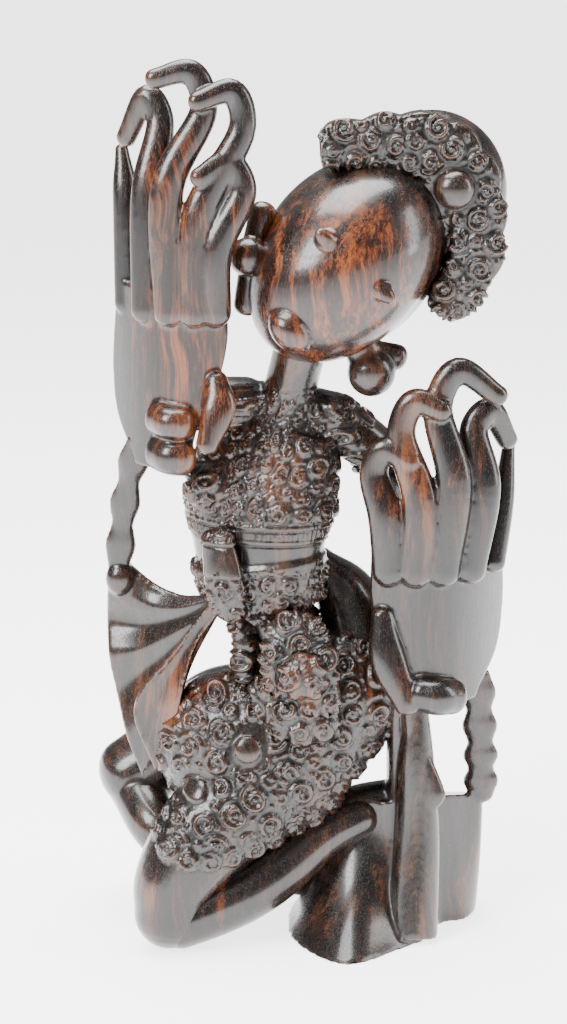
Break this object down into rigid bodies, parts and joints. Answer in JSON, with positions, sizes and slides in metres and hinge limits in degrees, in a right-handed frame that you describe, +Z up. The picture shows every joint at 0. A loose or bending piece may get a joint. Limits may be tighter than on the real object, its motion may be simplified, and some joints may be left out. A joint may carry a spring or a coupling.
{
  "type": "legong dancer figure",
  "caption": "Carved dark hardwood dancer kneeling on one knee, head leant over one shoulder, with a wing of hooked plumes on each arm, hanging sashes and a spread cloth that it stands on.",
  "frame": {"origin": "centre of the figure's plan, on the ground under it", "axes": "+Z up, -Y towards the viewer of the front, +X to that viewer's right"},
  "size_m": [0.1882, 0.1032, 0.3924],
  "materials": {
    "carved_wood": "polished dark hardwood with near-black and red-brown stripes"
  },
  "bodies": {
    "root": {"legong_dancer": "carved_wood"}
  },
  "joints": []
}
